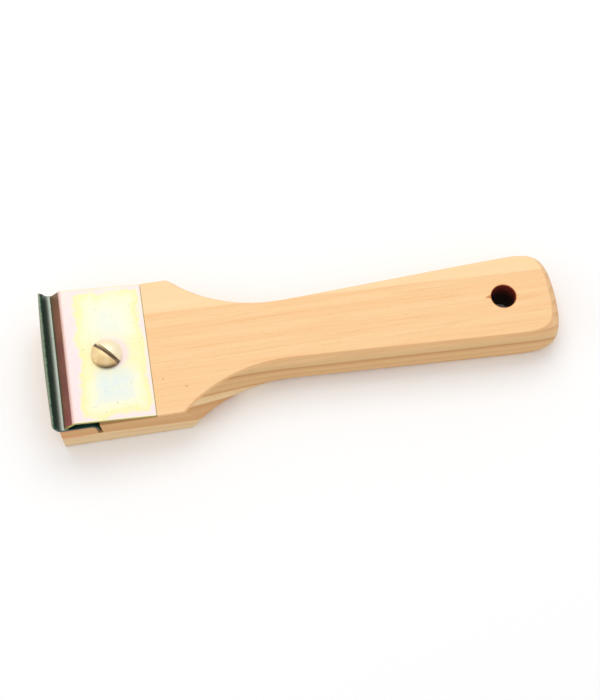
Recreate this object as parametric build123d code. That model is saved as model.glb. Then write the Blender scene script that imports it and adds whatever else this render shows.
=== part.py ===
from build123d import *
import math
import os

os.makedirs("parts", exist_ok=True)

# ----------------------------------------------------------------------------
# Hive scraper: one-piece wooden handle, reversible hooked blade, clamp plate,
# slotted clamp screw and a flanged nut let into the underside of the head.
# Millimetres.  It is drawn with the plate's rear edge at x = 0, the wood's top
# face at z = 0 and the centre line at y = 0, then moved so that the origin is
# the centre of the footprint at the underside.
# ----------------------------------------------------------------------------

# board and head
board_t = 19.0            # thickness of the wood
head_w = 59.4             # width of the head
head_front = -39.3        # front face of the head
seat_depth = 1.2          # rebate that the blade and the plate lie in
edge_round = 0.45         # sanded edge along the top and bottom faces

# handle outline: half widths of the top face (x, half width)
flare = [(4.2, 35.4), (7.4, 32.5)]
neck = [(10.6, 29.7), (12.75, 27.8), (14.9, 26.05), (18.3, 23.6), (21.9, 21.4),
        (25.4, 19.55), (28.9, 17.95), (32.3, 16.6), (36.0, 15.4), (40.1, 14.35),
        (44.2, 13.6), (49.0, 13.05), (54.0, 12.85), (60.0, 12.95), (66.0, 13.22)]
grip = [(76.0, 13.68), (90.0, 14.35), (105.0, 15.1), (120.0, 15.85), (135.0, 16.55),
        (147.0, 17.05), (154.5, 17.28)]
butt = [(158.6, 17.02), (161.6, 16.3), (164.0, 14.9), (165.5, 12.7), (166.3, 9.6),
        (166.85, 5.0)]
butt_end = 167.0
# how far the side stands out beyond the top face, down the side (z, bulge)
side_profile = [(0.0, 0.0), (-2.6, 1.3), (-5.2, 2.25), (-8.0, 2.85), (-11.0, 3.15),
                (-14.0, 3.1), (-16.4, 2.6), (-18.1, 1.85), (-19.0, 1.3)]
butt_bulge = 1.42         # the butt stands out this much more than the sides

hang_hole_d = 10.5
hang_hole_x = 148.05

# kerf that holds the rear hook of the blade
kerf_top = (-25.3, -23.15)
kerf_bottom = (-24.45, -22.45)
kerf_depth = 9.0          # below the top face

# blade: S-shaped strip, ground at both hooked edges
blade_len = 60.0
blade_t = 1.1
blade_front = -37.5       # where the front bend starts
blade_rear = -27.0        # where the rear bend starts
bend_r = 2.6              # bend radius on the middle of the strip
bend_turn = 76.0
hook_end = 5.0            # height of the cutting edge at its ends, above the wood
hook_crown = 1.3          # the cutting edge is this much higher at its middle
seat_gap = 0.02

# clamp plate
plate_w = 58.8
plate_t = 1.2
plate_run = 32.9          # rear edge to the front bend
plate_rise = 4.4
lip_run = 4.4
lip_foot = 0.25
bend_fillet = 1.5

# clamp screw, M6 slotted
screw_x = -16.85
screw_y = -0.8
head_d = 12.4
head_rim = 1.25
head_h = 3.3
slot_w = 1.5
slot_depth = 1.8
slot_angle = -46.0
screw_d = 6.0
screw_len = 20.0
plate_hole_d = 6.8
shank_hole_d = 6.7

# flanged nut in the underside
nut_barrel_d = 8.4
nut_flange_d = 13.0
nut_flange_t = 1.2
nut_bore_d = 6.1
nut_top = 13.2            # along the screw axis, below the plate's top face
nut_flange_top = 19.0
nut_fit = 0.05

tilt = math.degrees(math.atan2(plate_rise, plate_run))


# ---- handle ----------------------------------------------------------------
def outline_points():
    half = flare + neck + grip + butt
    far = [(x, y) for x, y in half]
    near = [(x, -y) for x, y in reversed(half)]
    return far + [(butt_end, 0.0)] + near


base = Edge.make_spline([Vector(x, y, 0) for x, y in outline_points()])
stations = 72


def level_wire(z, bulge):
    pts = []
    for i in range(stations + 1):
        u = i / stations
        p = base.position_at(u)
        t = base.tangent_at(u)
        n = Vector(-t.Y, t.X, 0).normalized()
        k = 1.0
        if p.X > 140:
            s = min(1.0, (p.X - 140) / 24.0)
            s = s * s * (3 - 2 * s)
            k = 1.0 + (butt_bulge - 1.0) * s * max(0.0, n.X)
        pts.append(Vector(p.X + n.X * bulge * k, p.Y + n.Y * bulge * k, z))
    side = Edge.make_spline(pts)
    a, b = pts[-1], pts[0]
    c = Vector(-60, -46, z)
    d = Vector(-60, 46, z)
    return Wire([side, Edge.make_line(a, c), Edge.make_line(c, d), Edge.make_line(d, b)])


def smooth_profile():
    # the side is one even curve: more levels where it turns
    zs = [0.0, -2.2, -4.6, -7.2, -9.8, -12.2, -14.2, -15.8, -17.1, -18.15, -19.0]
    prof = Edge.make_spline([Vector(b, 0, z) for z, b in side_profile])
    table = []
    for i in range(401):
        q = prof.position_at(i / 400)
        table.append((q.Z, q.X))
    out = []
    for z in zs:
        best = min(table, key=lambda r: abs(r[0] - z))
        out.append((z, best[1]))
    out[0] = (0.0, 0.0)
    return out


body = Solid.make_loft([level_wire(z, b) for z, b in smooth_profile()])
head_block = Pos((head_front + 200) / 2, 0, -board_t / 2) * Box(200 - head_front, head_w, board_t)
handle = body & head_block
if not isinstance(handle, Part):
    handle = Part() + handle
rims = [e for e in handle.edges() if min(abs(e.center().Z), abs(e.center().Z + board_t)) < 0.01
        and e.center().X > head_front + 1]
handle = fillet(rims, edge_round)

# rebate for blade and plate
handle -= Pos((head_front - 5 + 0.12) / 2, 0, -seat_depth / 2 + 1) * Box(
    0.12 - head_front + 5, head_w + 4, seat_depth + 2)

# kerf, its front lip rounded where the blade bends over it
kerf_pts = [(kerf_top[0], -seat_depth + 0.6), (kerf_top[1], -seat_depth + 0.6),
            (kerf_top[1], -seat_depth), (kerf_bottom[1], -kerf_depth),
            (kerf_bottom[0], -kerf_depth), (kerf_top[0], -seat_depth)]


def prism(points, width, y=0.0):
    wire = Wire.make_polygon([Vector(px, y - width / 2, pz) for px, pz in points], close=True)
    return Solid.extrude(Face(wire), Vector(0, width, 0))


handle -= prism(kerf_pts, head_w + 4)
web_mid = -seat_depth + seat_gap + blade_t / 2
bend_in = bend_r - blade_t / 2
lip_c = (blade_rear, web_mid - bend_r)
relief = prism([(blade_rear, -seat_depth + 0.5), (kerf_top[1] - 0.4, -seat_depth + 0.5),
                (kerf_top[1] - 0.4, lip_c[1] + 0.3), (blade_rear, lip_c[1] + 0.3)], head_w + 4)
relief -= Pos(lip_c[0], 0, lip_c[1]) * Rot(90, 0, 0) * Cylinder(bend_in - 0.06, head_w + 8)
handle -= relief

# hanging hole
handle -= Pos(hang_hole_x, 0, -board_t / 2) * Cylinder(hang_hole_d / 2, board_t + 4)

# screw axis: square to the clamp plate
seat_z = plate_rise * (-screw_x) / plate_run
axis_loc = Location((screw_x, screw_y, seat_z), (0, tilt, 0))


def along(top, bottom, d):
    # cylinder on the screw axis, between two depths below the plate's top face
    return axis_loc * Pos(0, 0, -(top + bottom) / 2) * Cylinder(d / 2, bottom - top)


handle -= along(1.0, 30.0, shank_hole_d)
handle -= along(nut_top - 0.6, 30.0, nut_barrel_d + 2 * nut_fit)
handle -= along(nut_flange_top - nut_fit, 30.0, nut_flange_d + 0.6)

# ---- blade -----------------------------------------------------------------
xa, xb, zw = blade_front, blade_rear, web_mid
phi = math.radians(bend_turn)
ro, ri = bend_r + blade_t / 2, bend_r - blade_t / 2
sx, cx = math.sin(phi), math.cos(phi)
centre = (xa, zw + bend_r)
long_hook = 8.0


def on_arc(r, a):
    return (centre[0] - r * math.sin(a), centre[1] - r * math.cos(a))


def swap(p):
    # the section is the same when turned half a turn about its middle
    return (xa + xb - p[0], 2 * zw - p[1])


o1, om, o2 = on_arc(ro, 0), on_arc(ro, phi / 2), on_arc(ro, phi)
i1, im, i2 = on_arc(ri, 0), on_arc(ri, phi / 2), on_arc(ri, phi)
o3 = (o2[0] - cx * long_hook, o2[1] + sx * long_hook)
i3 = (i2[0] - cx * long_hook, i2[1] + sx * long_hook)


def v(p, y=0.0):
    return Vector(p[0], y, p[1])


def blade_section(y):
    e = [Edge.make_three_point_arc(v(o1, y), v(om, y), v(o2, y)),
         Edge.make_line(v(o2, y), v(o3, y)),
         Edge.make_line(v(o3, y), v(i3, y)),
         Edge.make_line(v(i3, y), v(i2, y)),
         Edge.make_three_point_arc(v(i2, y), v(im, y), v(i1, y)),
         Edge.make_line(v(i1, y), v(swap(o1), y)),
         Edge.make_three_point_arc(v(swap(o1), y), v(swap(om), y), v(swap(o2), y)),
         Edge.make_line(v(swap(o2), y), v(swap(o3), y)),
         Edge.make_line(v(swap(o3), y), v(swap(i3), y)),
         Edge.make_line(v(swap(i3), y), v(swap(i2), y)),
         Edge.make_three_point_arc(v(swap(i2), y), v(swap(im), y), v(swap(i1), y)),
         Edge.make_line(v(swap(i1), y), v(o1, y))]
    return Face(Wire(e))


blade = Part() + Solid.extrude(blade_section(-blade_len / 2), Vector(0, blade_len, 0))

# ground edges: crowned, bevelled down towards the inside of the hook
bevel = math.radians(42.0)
outer_end_x = o2[0] - cx * (hook_end - o2[1]) / sx
start_x = outer_end_x - 6.0
z_end = hook_end + 6.0 * math.tan(bevel)
hl = blade_len / 2


def crown_cutter():
    low = z_end - 1.1
    side = [Edge.make_line(Vector(start_x, -hl - 3, low), Vector(start_x, -hl, low)),
            Edge.make_three_point_arc(Vector(start_x, -hl, low),
                                      Vector(start_x, -hl + 0.22, z_end - 0.42),
                                      Vector(start_x, -hl + 0.9, z_end + 0.05)),
            Edge.make_three_point_arc(Vector(start_x, -hl + 0.9, z_end + 0.05),
                                      Vector(start_x, 0, z_end + hook_crown),
                                      Vector(start_x, hl - 0.9, z_end + 0.05)),
            Edge.make_three_point_arc(Vector(start_x, hl - 0.9, z_end + 0.05),
                                      Vector(start_x, hl - 0.22, z_end - 0.42),
                                      Vector(start_x, hl, low)),
            Edge.make_line(Vector(start_x, hl, low), Vector(start_x, hl + 3, low)),
            Edge.make_line(Vector(start_x, hl + 3, low), Vector(start_x, hl + 3, z_end + 14)),
            Edge.make_line(Vector(start_x, hl + 3, z_end + 14), Vector(start_x, -hl - 3, z_end + 14)),
            Edge.make_line(Vector(start_x, -hl - 3, z_end + 14), Vector(start_x, -hl - 3, low))]
    reach = 9.6
    return Solid.extrude(Face(Wire(side)), Vector(reach, 0, -reach * math.tan(bevel)))


cutter = Part() + crown_cutter()
blade -= cutter
half_turn = Location(((xa + xb), 0, 2 * zw), (0, 180, 0))
blade -= half_turn * cutter

# ---- clamp plate -----------------------------------------------------------
ct, st = math.cos(math.radians(tilt)), math.sin(math.radians(tilt))
p_rear = (0.0, 0.0)
p_bend = (-plate_run, plate_rise)
p_foot = (-plate_run - lip_run, lip_foot)
lip_a = math.atan2(p_bend[1] - p_foot[1], lip_run)
mid_a = (math.radians(tilt) + (-lip_a)) / 2
half_bend = (lip_a + math.radians(tilt)) / 2
p_in = (p_bend[0] + plate_t / math.cos(half_bend) * math.sin((lip_a - math.radians(tilt)) / 2),
        p_bend[1] - plate_t / math.cos(half_bend) * math.cos((lip_a - math.radians(tilt)) / 2))
p_rear_low = (p_rear[0] - plate_t * st, p_rear[1] - plate_t * ct)
heel_z = -seat_depth + seat_gap + blade_t + 0.05
p_lip_in_dir = (math.cos(lip_a), math.sin(lip_a))
t_in = (p_in[1] - heel_z) / math.sin(lip_a)
p_heel = (p_in[0] - t_in * math.cos(lip_a), heel_z)
plate = Part() + prism([p_rear, p_bend, p_foot, p_heel, p_in, p_rear_low], plate_w)
outer = [e for e in plate.edges() if abs(e.center().X - p_bend[0]) < 0.02 and abs(e.center().Z - p_bend[1]) < 0.02]
plate = fillet(outer, bend_fillet)
inner = [e for e in plate.edges() if abs(e.center().X - p_in[0]) < 0.02 and abs(e.center().Z - p_in[1]) < 0.02]
plate = fillet(inner, 0.4)
rear_corners = [e for e in plate.edges() if abs(abs(e.center().Y) - plate_w / 2) < 0.01
                and e.center().X > -0.2 and abs(e.length - plate_t) < 0.05]
plate = fillet(rear_corners, 0.5)
plate -= along(-2.0, 5.0, plate_hole_d)

# ---- clamp screw -----------------------------------------------------------
r = head_d / 2
tip_c = 0.7
dome_mid = (r * 0.62, head_rim + (head_h - head_rim) * 0.66)
prof = Face(Wire([
    Edge.make_line(Vector(0, 0, -screw_len), Vector(screw_d / 2 - tip_c, 0, -screw_len)),
    Edge.make_line(Vector(screw_d / 2 - tip_c, 0, -screw_len), Vector(screw_d / 2, 0, -screw_len + tip_c)),
    Edge.make_line(Vector(screw_d / 2, 0, -screw_len + tip_c), Vector(screw_d / 2, 0, 0.02)),
    Edge.make_line(Vector(screw_d / 2, 0, 0.02), Vector(r - 0.15, 0, 0.02)),
    Edge.make_line(Vector(r - 0.15, 0, 0.02), Vector(r, 0, 0.17)),
    Edge.make_line(Vector(r, 0, 0.17), Vector(r, 0, head_rim)),
    Edge.make_three_point_arc(Vector(r, 0, head_rim), Vector(dome_mid[0], 0, dome_mid[1]), Vector(0, 0, head_h)),
    Edge.make_line(Vector(0, 0, head_h), Vector(0, 0, -screw_len))]))
screw = Part() + Solid.revolve(prof, 360, Axis.Z)
screw -= Rot(0, 0, slot_angle) * Pos(0, 0, head_h - slot_depth + 5) * Box(head_d + 4, slot_w, 10)
screw = axis_loc * screw

# ---- flanged nut -----------------------------------------------------------
nut = Part() + Pos(0, 0, -(nut_top + nut_flange_top) / 2) * Cylinder(nut_barrel_d / 2, nut_flange_top - nut_top)
nut += Pos(0, 0, -nut_flange_top - nut_flange_t / 2) * Cylinder(nut_flange_d / 2, nut_flange_t)
nut -= Pos(0, 0, -16) * Cylinder(nut_bore_d / 2, 20)
nut = axis_loc * nut

# ---- move to the row's frame and write -------------------------------------
pieces = {"handle": handle, "scraper_blade": blade, "clamp_plate": plate,
          "clamp_screw": screw, "flanged_nut": nut}
boxes = [p.bounding_box() for p in pieces.values()]
x_lo = min(b.min.X for b in boxes)
x_hi = max(b.max.X for b in boxes)
shift = Vector(-(x_lo + x_hi) / 2, 0, board_t)
print("x range", round(x_lo, 3), round(x_hi, 3), "shift", round(shift.X, 4), "tilt", round(tilt, 4))
print("screw axis point", round(screw_x + shift.X, 4), screw_y, round(seat_z + board_t, 4),
      "dir", round(st, 6), 0, round(ct, 6))
print("hang hole x", round(hang_hole_x + shift.X, 4))
for name, p in pieces.items():
    p = Pos(shift.X, shift.Y, shift.Z) * p
    bb = p.bounding_box()
    print(name, len(p.solids()), "valid", p.is_valid if isinstance(p.is_valid, bool) else p.is_valid(),
          "vol", round(p.volume, 1),
          [round(c, 2) for c in (bb.min.X, bb.min.Y, bb.min.Z, bb.max.X, bb.max.Y, bb.max.Z)])
    out = p.solids()[0] if len(p.solids()) == 1 else p
    out.label = name
    export_step(out, "parts/" + name + ".step")
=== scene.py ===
import math
import bmesh
import bpy
from mathutils import Matrix, Vector


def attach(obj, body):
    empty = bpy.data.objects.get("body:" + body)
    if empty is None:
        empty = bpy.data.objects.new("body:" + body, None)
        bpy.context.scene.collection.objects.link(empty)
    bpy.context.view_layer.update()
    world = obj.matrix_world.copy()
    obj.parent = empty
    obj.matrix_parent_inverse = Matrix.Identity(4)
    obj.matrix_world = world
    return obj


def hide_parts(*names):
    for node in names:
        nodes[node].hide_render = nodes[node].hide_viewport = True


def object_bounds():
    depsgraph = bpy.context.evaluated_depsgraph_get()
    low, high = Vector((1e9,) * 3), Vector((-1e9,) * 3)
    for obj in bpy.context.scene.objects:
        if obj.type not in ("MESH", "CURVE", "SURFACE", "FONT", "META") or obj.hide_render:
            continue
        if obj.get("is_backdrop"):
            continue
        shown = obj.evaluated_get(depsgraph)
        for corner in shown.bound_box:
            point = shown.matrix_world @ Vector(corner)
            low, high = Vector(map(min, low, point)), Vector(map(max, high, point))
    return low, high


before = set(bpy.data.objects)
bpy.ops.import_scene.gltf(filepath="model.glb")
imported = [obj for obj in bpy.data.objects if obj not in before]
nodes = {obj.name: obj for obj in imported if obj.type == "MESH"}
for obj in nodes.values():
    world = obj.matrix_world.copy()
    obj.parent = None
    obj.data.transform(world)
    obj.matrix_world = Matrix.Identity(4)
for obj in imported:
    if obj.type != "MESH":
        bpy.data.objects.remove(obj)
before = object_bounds()


def plain(value):
    if isinstance(value, (int, float, str)) or value is None:
        return value
    if isinstance(value, dict):
        return {str(k): plain(v) for k, v in value.items()}
    return [plain(v) for v in value]


# ---------------------------------------------------------------- node helpers
class Mat:
    def __init__(self, name, metallic, rough, spec=0.5, coat=0.0, coat_rough=0.1, aniso=0.0):
        self.m = bpy.data.materials.new(name)
        self.m.use_nodes = True
        self.t = self.m.node_tree
        self.b = next(n for n in self.t.nodes if n.type == "BSDF_PRINCIPLED")
        self.b.inputs["Metallic"].default_value = metallic
        self.b.inputs["Roughness"].default_value = rough
        self.b.inputs["Specular IOR Level"].default_value = spec
        self.b.inputs["Coat Weight"].default_value = coat
        self.b.inputs["Coat Roughness"].default_value = coat_rough
        self.b.inputs["Anisotropic"].default_value = aniso
        self.obj = self.t.nodes.new("ShaderNodeTexCoord").outputs["Object"]
        s = self.t.nodes.new("ShaderNodeSeparateXYZ")
        self.t.links.new(self.obj, s.inputs[0])
        self.x, self.y, self.z = s.outputs
        n = self.t.nodes.new("ShaderNodeSeparateXYZ")
        self.t.links.new(self.obj.node.outputs["Normal"], n.inputs[0])
        self.nx, self.ny, self.nz = n.outputs

    def put(self, value, socket):
        if isinstance(value, bpy.types.NodeSocket):
            self.t.links.new(value, socket)
        elif isinstance(value, tuple) and len(value) == 3 and socket.type == "RGBA":
            socket.default_value = (*value, 1.0)
        else:
            socket.default_value = value

    def math(self, op, a, b=0.0, clamp=False):
        n = self.t.nodes.new("ShaderNodeMath")
        n.operation = op
        n.use_clamp = clamp
        self.put(a, n.inputs[0])
        self.put(b, n.inputs[1])
        return n.outputs[0]

    def step(self, v, lo, hi, a=0.0, b=1.0):
        n = self.t.nodes.new("ShaderNodeMapRange")
        n.interpolation_type = "SMOOTHSTEP"
        self.put(v, n.inputs[0])
        for i, k in enumerate((lo, hi, a, b)):
            n.inputs[i + 1].default_value = k
        return n.outputs[0]

    def noise(self, scale, stretch=(1, 1, 1), detail=4.0, rough=0.55):
        mp = self.t.nodes.new("ShaderNodeMapping")
        self.t.links.new(self.obj, mp.inputs[0])
        mp.inputs["Scale"].default_value = stretch
        n = self.t.nodes.new("ShaderNodeTexNoise")
        self.t.links.new(mp.outputs[0], n.inputs["Vector"])
        n.inputs["Scale"].default_value = scale
        n.inputs["Detail"].default_value = detail
        n.inputs["Roughness"].default_value = rough
        return n.outputs[0]

    def mix(self, f, a, b, kind="MIX"):
        n = self.t.nodes.new("ShaderNodeMix")
        n.data_type = "RGBA"
        n.blend_type = kind
        self.put(f, n.inputs[0])
        self.put(a, n.inputs[6])
        self.put(b, n.inputs[7])
        return n.outputs[2]

    def ramp(self, v, stops):
        n = self.t.nodes.new("ShaderNodeValToRGB")
        self.put(v, n.inputs[0])
        e = n.color_ramp.elements
        while len(e) < len(stops):
            e.new(0.5)
        for k, (p, c) in enumerate(stops):
            e[k].position = p
            e[k].color = (*c, 1.0)
        return n.outputs[0]

    def bump(self, height, strength, distance):
        n = self.t.nodes.new("ShaderNodeBump")
        n.inputs["Strength"].default_value = strength
        n.inputs["Distance"].default_value = distance
        self.put(height, n.inputs["Height"])
        self.t.links.new(n.outputs[0], self.b.inputs["Normal"])

    def colour(self, c):
        self.t.links.new(c, self.b.inputs["Base Color"])


def lin(r, g, b):
    def f(c):
        c /= 255.0
        return c / 12.92 if c <= 0.04045 else ((c + 0.055) / 1.055) ** 2.4
    return (f(r), f(g), f(b))


# ---------------------------------------------------------------- wood
# Straight grain along X. Growth rings are nearly flat sheets that dip towards +X, so they cross
# the upper face as one soft step and the sides as a few thin lines.
w = Mat("light_softwood", 0.0, 0.55, spec=0.22)
wander = w.math("SUBTRACT", w.noise(14.0, (0.5, 2.0, 2.0), 2.0), 0.5)
wobble = w.math("MULTIPLY", wander, 0.0018)
fine = w.noise(1000.0, (0.030, 1.0, 1.0), 5.0, 0.6)
streak = w.noise(260.0, (0.035, 1.0, 1.0), 3.0, 0.55)
cloud = w.noise(60.0, (0.25, 1.0, 1.0), 3.0)
tone = w.mix(w.step(streak, 0.34, 0.68), lin(248, 207, 155), lin(247, 200, 146))
tone = w.mix(w.step(cloud, 0.44, 0.66, 0.0, 0.22), tone, lin(250, 213, 165))
tone = w.mix(w.step(fine, 0.46, 0.74, 0.0, 0.42), tone, lin(232, 172, 116))
grit = w.noise(2600.0, (0.25, 1.0, 1.0), 2.0, 0.6)
tone = w.mix(w.step(grit, 0.50, 0.74, 0.0, 0.16), tone, lin(224, 164, 108))
# one ring coordinate for every face: inclined sheets, drifting slightly along X
c = w.math("SUBTRACT", w.y, w.math("MULTIPLY", w.math("SUBTRACT", 0.019, w.z), 0.62))
c = w.math("ADD", w.math("ADD", c, w.math("MULTIPLY", w.x, 0.036)), wobble)
far = w.math("SUBTRACT", c, 0.0130)
tone = w.mix(w.step(far, -0.0003, 0.0009, 0.0, 0.55), tone, lin(252, 224, 176))
tone = w.mix(w.math("MULTIPLY", w.step(far, -0.0030, -0.0002, 0.0, 0.22), w.step(far, -0.0002, 0.0003, 1.0, 0.0)), tone, lin(242, 188, 134))
rings = w.ramp(w.math("MULTIPLY", w.math("ADD", c, 0.046), 33.33, True),
               [(0.0, lin(222, 190, 148)), (0.12, lin(232, 204, 160)), (0.20, lin(226, 192, 146)), (0.235, lin(234, 204, 158)), (0.262, lin(208, 156, 100)),
                (0.33, lin(208, 160, 106)), (0.40, lin(214, 167, 113)), (0.475, lin(206, 156, 101)),
                (0.512, lin(200, 142, 90)), (0.545, lin(238, 208, 160)), (0.63, lin(232, 198, 148)),
                (0.664, lin(196, 142, 88)), (0.69, lin(222, 180, 126)), (0.75, lin(217, 174, 120)),
                (0.765, lin(210, 165, 112)), (0.80, lin(224, 183, 129)), (0.855, lin(210, 162, 106)),
                (0.878, lin(190, 136, 82)), (0.905, lin(220, 184, 132)), (1.0, lin(232, 188, 134))])
rings = w.mix(w.step(fine, 0.40, 0.74, 0.0, 0.30), rings, lin(206, 152, 100))
below = w.step(w.z, 0.0176, 0.0187, 1.0, 0.0)
cut = w.math("MULTIPLY", below, w.step(c, -0.0170, -0.0150, 0.92, 0.45))
tone = w.mix(cut, tone, rings)
# fainter rings where the wood is cut away from the upper face
uneven = w.noise(55.0, (0.12, 1.0, 1.0), 2.0)
uneven = w.math("MULTIPLY", w.math("SUBTRACT", uneven, 0.5), 0.0085)
wide = w.math("FRACT", w.math("MULTIPLY", w.math("ADD", w.math("ADD", c, uneven), 0.1003), 172.0))
late = w.math("MULTIPLY", w.step(wide, 0.30, 0.93), w.step(wide, 0.94, 1.0, 1.0, 0.0))
where = w.math("MULTIPLY", below, w.step(c, -0.0170, -0.0150))
tone = w.mix(w.math("MULTIPLY", w.math("MULTIPLY", where, late), 0.55), tone, lin(208, 156, 102))
# end grain: darker, with pores instead of long fibres
ends = w.math("MULTIPLY", w.step(w.math("ABSOLUTE", w.nx), 0.72, 0.96), below)
pores = w.noise(1700.0, (1, 1, 1), 3.0, 0.6)
tone = w.mix(w.math("MULTIPLY", ends, 0.35), tone, lin(214, 164, 110))
tone = w.mix(w.math("MULTIPLY", ends, w.step(pores, 0.48, 0.68, 0.0, 0.40)), tone, lin(184, 134, 84))
red = w.noise(120.0, (0.10, 0.6, 1.0), 2.0, 0.5)
head = w.math("MULTIPLY", w.step(w.x, -0.052, -0.046, 1.0, 0.0), below)
streaks = w.math("MULTIPLY", w.step(red, 0.50, 0.62, 0.0, 0.60), w.step(w.z, 0.0078, 0.0095))
streaks = w.math("MULTIPLY", streaks, w.step(w.math("ABSOLUTE", w.ny), 0.70, 0.95))
tone = w.mix(w.math("MULTIPLY", head, streaks), tone, lin(214, 132, 82))
# a thin darker, warmer line just under the upper edge is painted shade where the top turns down into the
# side
edge_shade_line = w.math("MULTIPLY", w.step(w.z, 0.0180, 0.0186), w.step(w.z, 0.01885, 0.01897, 1.0, 0.0))
tone = w.mix(w.math("MULTIPLY", edge_shade_line, 0.40), tone, lin(222, 152, 94))
flecks = w.noise(1500.0, (0.16, 1.0, 1.0), 1.0, 0.4)
tone = w.mix(w.step(flecks, 0.70, 0.82, 0.0, 0.24), tone, lin(222, 160, 104))


def spot(x, y, r, dark, colour, tone):
    """A small dark mark, or knot, on the upper face."""
    a = w.math("SUBTRACT", w.x, x)
    b = w.math("MULTIPLY", w.math("SUBTRACT", w.y, y), 1.6)
    d = w.math("SQRT", w.math("ADD", w.math("MULTIPLY", a, a), w.math("MULTIPLY", b, b)))
    return w.mix(w.step(d, r * 0.2, r, dark, 0.0), tone, colour)


tone = spot(-0.0514, -0.0188, 0.0009, 0.55, lin(160, 128, 96), tone)
tone = spot(-0.0605, -0.0142, 0.0007, 0.60, lin(206, 120, 66), tone)
tone = spot(-0.0095, -0.0195, 0.0006, 0.40, lin(200, 140, 90), tone)
# hanging hole: a reddish-brown ring at its rim; its wall is painted shade, red-brown near the top and
# near-black lower down
hx = w.math("SUBTRACT", w.x, 0.083249)
hole = w.math("SQRT", w.math("ADD", w.math("MULTIPLY", hx, hx), w.math("MULTIPLY", w.y, w.y)))
tone = w.mix(w.step(hole, 0.0053, 0.0056, 0.75, 0.0), tone, lin(206, 118, 62))
hole_wall_shade = w.math("MULTIPLY", w.step(hole, 0.00535, 0.00545, 1.0, 0.0), w.step(w.z, 0.0180, 0.0188, 1.0, 0.0))
tone = w.mix(w.math("MULTIPLY", hole_wall_shade, 0.97), tone, w.mix(w.step(w.z, 0.0085, 0.0175), lin(44, 16, 15), lin(128, 40, 34)))
# fibres torn out at the rim, along the grain
tear = w.math("ADD", w.math("ABSOLUTE", w.math("SUBTRACT", w.y, 0.0006)), w.math("MULTIPLY", w.math("SUBTRACT", 0.0768, w.x), 0.38))
tearl = w.math("MULTIPLY", w.step(tear, 0.0003, 0.0006, 0.8, 0.0), w.step(w.x, 0.0754, 0.0760))
tone = w.mix(w.math("MULTIPLY", tearl, w.step(w.x, 0.0790, 0.0786)), tone, lin(196, 112, 56))
tear2 = w.math("ADD", w.math("ABSOLUTE", w.math("ADD", w.y, 0.0004)), w.math("MULTIPLY", w.math("SUBTRACT", w.x, 0.0884), 0.30))
tearr = w.math("MULTIPLY", w.step(tear2, 0.0002, 0.0007, 0.40, 0.0), w.step(w.x, 0.0882, 0.0884))
tone = w.mix(tearr, tone, lin(214, 140, 80))
w.colour(tone)
w.bump(w.math("ADD", fine, w.math("MULTIPLY", flecks, 0.4)), 0.18, 0.00012)

# ---------------------------------------------------------------- chromated plate
p = Mat("chromated_plate", 0.12, 0.30, spec=0.5)
blot = p.noise(75.0, (1, 1, 1), 5.0, 0.6)
soft = p.noise(34.0, (1, 0.6, 1), 3.0, 0.5)
drag = p.noise(420.0, (1.0, 0.05, 1.0), 2.0, 0.5)
ex = p.math("MINIMUM", p.math("SUBTRACT", p.x, -0.0962), p.math("SUBTRACT", -0.0639, p.x))
ey = p.math("SUBTRACT", 0.0301, p.math("ABSOLUTE", p.y))
edge = p.math("MINIMUM", ex, ey)
patch = p.noise(230.0, (1.0, 0.7, 1.0), 6.0, 0.65)
edge = p.math("ADD", edge, p.math("MULTIPLY", p.math("SUBTRACT", blot, 0.5), 0.0105))
edge = p.math("ADD", edge, p.math("MULTIPLY", p.math("SUBTRACT", patch, 0.5), 0.0050))
edge = p.math("ADD", edge, p.math("MULTIPLY", p.math("SUBTRACT", soft, 0.5), 0.0120))
edge = p.math("ADD", edge, p.math("MULTIPLY", p.step(p.y, -0.0200, -0.0060, 0.0, 1.0), -0.0006))
edge = p.math("ADD", edge, p.math("MULTIPLY", p.step(p.y, -0.0090, -0.0060, 1.0, 0.0), p.step(edge, 0.0070, 0.0100, 0.0, 0.0026)))
film = p.ramp(p.math("MULTIPLY", edge, 66.0, True),
              [(0.0, lin(234, 214, 212)), (0.10, lin(235, 214, 217)), (0.16, lin(236, 222, 198)),
               (0.23, lin(236, 226, 158)), (0.31, lin(237, 229, 174)), (0.42, lin(236, 231, 194)),
               (0.58, lin(234, 231, 202)), (0.74, lin(224, 227, 211)), (1.0, lin(214, 223, 219))])
sx = p.math("ADD", p.x, 0.08165)
sy = p.math("ADD", p.y, 0.0008)
sd = p.math("SQRT", p.math("ADD", p.math("MULTIPLY", sx, sx), p.math("MULTIPLY", sy, sy)))
band = p.math("ADD", p.math("ABSOLUTE", p.math("ADD", p.y, 0.0005)), p.math("MULTIPLY", p.math("SUBTRACT", blot, 0.5), 0.012))
band = p.math("ADD", band, p.math("MULTIPLY", p.math("SUBTRACT", patch, 0.5), 0.006))
inside = p.step(edge, 0.0030, 0.0050)
film = p.mix(p.math("MULTIPLY", inside, p.step(band, 0.0040, 0.0125, 0.70, 0.0)), film, lin(237, 226, 158))
film = p.mix(p.math("MULTIPLY", inside, p.step(drag, 0.54, 0.72, 0.0, 0.30)), film, lin(238, 230, 172))
film = p.mix(p.math("MULTIPLY", inside, p.step(patch, 0.40, 0.66, 0.0, 0.35)), film, lin(236, 231, 190))
halo = p.math("ADD", sd, p.math("MULTIPLY", p.math("ADD", sx, p.math("MULTIPLY", sy, 0.4)), -0.24))
film = p.mix(p.step(halo, 0.0058, 0.0078, 0.85, 0.0), film, lin(233, 208, 212))
veil = p.noise(48.0, (1.0, 0.55, 1.0), 5.0, 0.6)
film = p.mix(p.step(veil, 0.42, 0.64, 0.0, 0.45), film, lin(236, 232, 204))
pinkv = p.noise(64.0, (1.0, 0.4, 1.0), 4.0, 0.6)
film = p.mix(p.math("MULTIPLY", p.step(ey, 0.0020, 0.0070, 1.0, 0.0), p.step(pinkv, 0.50, 0.64, 0.0, 0.7)), film, lin(236, 228, 184))
front = p.step(p.x, -0.0986, -0.0980, 1.0, 0.0)
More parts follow.
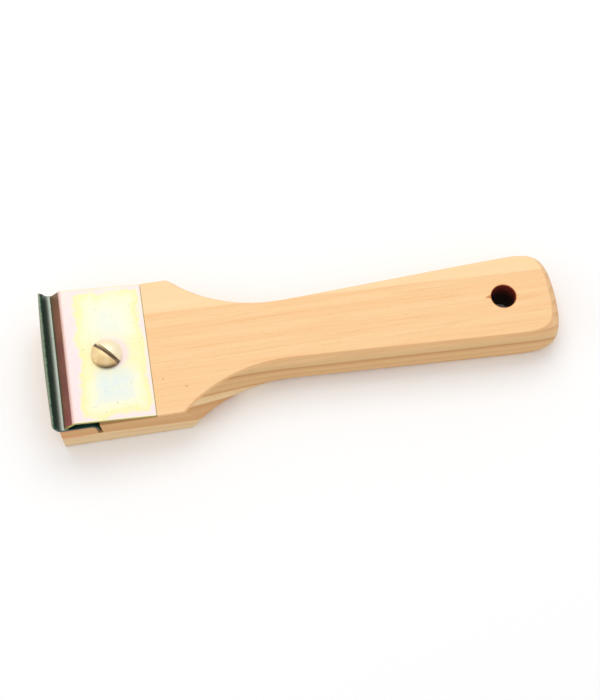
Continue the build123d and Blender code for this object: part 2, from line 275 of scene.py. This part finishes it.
# The bent-down front lip is painted dull brown as a painted dark reflection; its redder near end, olive far
# end and olive lower edge vary the film's colour.
lipn = p.noise(110.0, (1, 0.5, 1), 3.0, 0.5)
lip_painted_reflection = p.mix(p.step(lipn, 0.36, 0.66), lin(166, 116, 90), lin(152, 98, 88))
lip_painted_reflection = p.mix(p.step(p.y, -0.0290, -0.0180, 0.6, 0.0), lip_painted_reflection, lin(160, 80, 86))
lip_painted_reflection = p.mix(p.step(p.y, 0.0150, 0.0290, 0.0, 0.6), lip_painted_reflection, lin(104, 90, 62))
lip_painted_reflection = p.mix(p.step(p.x, -0.1018, -0.1009, 0.8, 0.0), lip_painted_reflection, lin(84, 86, 52))
# painted highlight: a peach strip along the outer front bend
film = p.mix(p.step(p.x, -0.0983, -0.0964, 0.85, 0.0), film, lin(242, 196, 182))
film = p.mix(front, film, lip_painted_reflection)
rimline = p.step(ey, 0.0008, 0.0014, 0.7, 0.0)
film = p.mix(p.math("MULTIPLY", rimline, p.step(p.x, -0.0978, -0.0970)), film, lin(238, 232, 176))
# cut edges of the sheet
rim = p.math("MAXIMUM", p.step(p.math("ABSOLUTE", p.y), 0.02925, 0.02938), p.step(p.x, -0.06506, -0.06492))
film = p.mix(p.math("MULTIPLY", rim, 0.9), film, lin(170, 164, 66))
specks = p.noise(1100.0, (1, 1, 1), 1.0, 0.3)
film = p.mix(p.step(specks, 0.74, 0.79, 0.0, 0.55), film, lin(150, 145, 84))
p.colour(film)
p.bump(specks, 0.12, 0.0001)

# ---------------------------------------------------------------- blade
s = Mat("blued_blade", 0.45, 0.32, spec=0.5)
grit = s.noise(700.0, (0.5, 1.0, 0.5), 4.0)
patch = s.noise(80.0, (1, 0.5, 1), 4.0)
across = s.math("ADD", s.x, s.math("MULTIPLY", s.math("SUBTRACT", grit, 0.5), 0.0007))
# The ramp across the blade gives dark green steel with pale bands; the pale band behind the hook is a
# painted highlight in the curved trough.
steel_and_painted_light = s.ramp(s.math("MULTIPLY", s.math("ADD", across, 0.10672), 110.0, True),
               [(0.0, lin(146, 156, 132)), (0.09, lin(150, 160, 136)), (0.125, lin(40, 96, 60)),
                (0.15, lin(4, 36, 28)), (0.235, lin(8, 44, 36)), (0.30, lin(92, 108, 96)),
                (0.38, lin(150, 158, 146)), (0.62, lin(170, 178, 166)), (0.72, lin(8, 62, 52))])
under = s.math("MULTIPLY", s.step(s.z, 0.0172, 0.0186, 1.0, 0.0), s.step(s.x, -0.1012, -0.1002))
# painted shade: the blade under the plate's lip is painted near-black
steel_and_painted_light = s.mix(s.step(s.x, -0.1008, -0.0998), steel_and_painted_light, lin(4, 58, 50))
steel_and_painted_light = s.mix(s.step(s.math("ABSOLUTE", s.y), 0.02975, 0.02990), steel_and_painted_light, lin(20, 64, 56))
steel_and_painted_light = s.mix(s.step(patch, 0.45, 0.70, 0.0, 0.18), steel_and_painted_light, lin(70, 94, 78))
steel_and_painted_light = s.mix(s.step(grit, 0.56, 0.76, 0.0, 0.30), steel_and_painted_light, lin(24, 42, 34))
s.colour(steel_and_painted_light)
s.bump(grit, 0.15, 0.0001)

# ---------------------------------------------------------------- screw
g = Mat("golden_screw", 0.35, 0.34, spec=0.5)
gn = g.noise(240.0, (1, 1, 1), 4.0)
gold = g.mix(g.step(gn, 0.38, 0.66), lin(246, 216, 162), lin(232, 196, 138))
gx = g.math("ADD", g.x, 0.08165)
gy = g.math("ADD", g.y, 0.0008)
gd = g.math("SQRT", g.math("ADD", g.math("MULTIPLY", gx, gx), g.math("MULTIPLY", gy, gy)))
turned = g.math("SINE", g.math("MULTIPLY", gd, 9000.0))
gold = g.mix(g.step(turned, 0.2, 1.0, 0.0, 0.06), gold, lin(180, 138, 84))
gs = g.math("ADD", g.math("MULTIPLY", gx, 0.695), g.math("MULTIPLY", gy, 0.719))
# painted highlight: the half of the head towards the light is painted pale cream
gold = g.mix(g.step(gs, 0.0, 0.0016, 0.0, 0.85), gold, lin(255, 243, 208))
# painted shade: the near rim of the head is painted dark brown
gold = g.mix(g.math("MULTIPLY", g.step(gy, -0.0062, -0.0030, 1.0, 0.0), g.step(gd, 0.0046, 0.0063, 0.0, 0.9)), gold, lin(84, 62, 34))
# painted shade: the slot is painted dark brown
gabs = g.math("ABSOLUTE", g.math("ADD", g.math("MULTIPLY", gx, 0.719), g.math("MULTIPLY", gy, -0.695)))
painted_slot_shade = g.math("MULTIPLY", g.step(g.math("ABSOLUTE", gs), 0.00072, 0.00078, 1.0, 0.0), g.step(gabs, 0.0064, 0.0066, 1.0, 0.0))
gold = g.mix(g.math("MULTIPLY", painted_slot_shade, 0.9), gold, lin(70, 46, 26))
g.colour(gold)
g.bump(gn, 0.10, 0.0001)

# ---------------------------------------------------------------- nut
k = Mat("zinc_nut", 0.9, 0.36, spec=0.5)
kn = k.noise(300.0, (1, 1, 1), 4.0)
k.colour(k.mix(k.step(kn, 0.35, 0.65), lin(206, 206, 198), lin(158, 158, 150)))
k.bump(kn, 0.10, 0.0001)

for node, mat in (("handle", w), ("clamp_plate", p), ("scraper_blade", s),
                  ("clamp_screw", g), ("flanged_nut", k)):
    o = nodes[node]
    for i in range(len(o.material_slots)):
        o.material_slots[i].material = mat.m

# ---------------------------------------------------------------- threaded screw
# The head is the CAD screw's own; below the plate its plain shank becomes a right-hand thread of
# 1 mm pitch whose crests keep the shank's diameter.
AXIS = Vector((0.132559, 0.0, 0.991175)).normalized()
ORIGIN = Vector((-0.0816507, -0.0008, 0.0212535))
SIDE = Vector((0.0, 1.0, 0.0))
ACROSS = SIDE.cross(AXIS).normalized()
PITCH, CREST, ROOT = 0.001, 0.0030, 0.00245


def along(co):
    return (co - ORIGIN).dot(AXIS)


source = nodes["clamp_screw"]
bm = bmesh.new()
bm.from_mesh(source.data)
bmesh.ops.remove_doubles(bm, verts=bm.verts[:], dist=1e-7)
tip = min(along(v.co) for v in bm.verts)
cut_at = -0.0016
bmesh.ops.bisect_plane(bm, geom=bm.verts[:] + bm.edges[:] + bm.faces[:], dist=1e-8,
                       plane_co=ORIGIN + AXIS * cut_at, plane_no=AXIS, clear_inner=True)
loop = {v for e in bm.edges if e.is_boundary for v in e.verts}


def turn_of(co):
    q = co - ORIGIN
    return math.atan2(q.dot(SIDE), q.dot(ACROSS)) % (2 * math.pi)


ring = sorted(loop, key=lambda v: turn_of(v.co))
turns = [turn_of(v.co) for v in ring]
length = cut_at - tip
rows = int(length / PITCH * 6)
for j in range(1, rows + 1):
    t = cut_at - length * j / rows
    fresh = []
    for a in turns:
        phase = (t / PITCH - a / (2 * math.pi)) % 1.0
        crest = 1.0 - abs(2.0 * phase - 1.0)
        r = ROOT + (CREST - ROOT) * min(1.0, crest * 1.15)
        runout = min(1.0, (cut_at - t) / PITCH)
        r = CREST + (r - CREST) * runout
        r = min(r, 0.0024 + max(0.0, t - tip) * 1.0)
        fresh.append(bm.verts.new(ORIGIN + AXIS * t + ACROSS * (math.cos(a) * r) + SIDE * (math.sin(a) * r)))
    for i in range(len(ring)):
        k2 = (i + 1) % len(ring)
        bm.faces.new((ring[i], ring[k2], fresh[k2], fresh[i]))
    ring = fresh
bm.faces.new(ring)
bmesh.ops.triangulate(bm, faces=[q for q in bm.faces if len(q.verts) > 4])
bmesh.ops.recalc_face_normals(bm, faces=bm.faces[:])
for q in bm.faces:
    q.smooth = True
for q in bm.edges:
    q.smooth = q.calc_face_angle(0.0) < math.radians(32)
screw_mesh = bpy.data.meshes.new("threaded_screw")
bm.to_mesh(screw_mesh)
bm.free()
screw_mesh.materials.append(g.m)
screw = bpy.data.objects.new("threaded_screw", screw_mesh)
bpy.context.scene.collection.objects.link(screw)
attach(screw, "screw")
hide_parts("clamp_screw")

# ---------------------------------------------------------------- floor and light
bpy.ops.mesh.primitive_plane_add(size=6.0, location=(0, 0, -0.0003))
floor = bpy.context.object
floor.name = "floor"
fm = Mat("floor_paper", 0.0, 0.9, spec=0.1)
fm.colour(fm.mix(fm.noise(3.0), lin(254, 254, 254), lin(252, 252, 252)))
floor.data.materials.append(fm.m)
floor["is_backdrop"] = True

world = bpy.data.worlds.new("soft_room")
bpy.context.scene.world = world
world.use_nodes = True
bg = next(n for n in world.node_tree.nodes if n.type == "BACKGROUND")
bg.inputs[0].default_value = (1.0, 1.0, 1.0, 1.0)
bg.inputs[1].default_value = 0.80


def area(name, place, aim, size, watts):
    d = bpy.data.lights.new(name, "AREA")
    d.shape = "RECTANGLE"
    d.size, d.size_y = size
    d.energy = watts
    o = bpy.data.objects.new(name, d)
    bpy.context.scene.collection.objects.link(o)
    o.location = place
    o.rotation_euler = (Vector(aim) - Vector(place)).to_track_quat("-Z", "Y").to_euler()
    return o


area("key_above_behind", (0.05, 0.55, 0.95), (0, 0, 0), (0.9, 0.7), 3.6)
area("fill_left", (-0.9, -0.1, 0.55), (0, 0, 0), (0.7, 0.7), 0.8)

# ---------------------------------------------------------------- camera
cd = bpy.data.cameras.new("photo_camera")
cd.sensor_width = 36.0
cd.lens = 79.714
cd.clip_start = 0.01
cd.clip_end = 20.0
cam = bpy.data.objects.new("photo_camera", cd)
bpy.context.scene.collection.objects.link(cam)
cam.matrix_world = Matrix(((0.987141, 0.146929, -0.062960, -0.043508),
                           (-0.159850, 0.907347, -0.388804, -0.255992),
                           (0.000000, 0.393869, 0.919167, 0.599427),
                           (0, 0, 0, 1)))
bpy.context.scene.camera = cam
bpy.context.scene.view_settings.view_transform = "Standard"

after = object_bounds()
{"before": plain(before), "after": plain(after)}
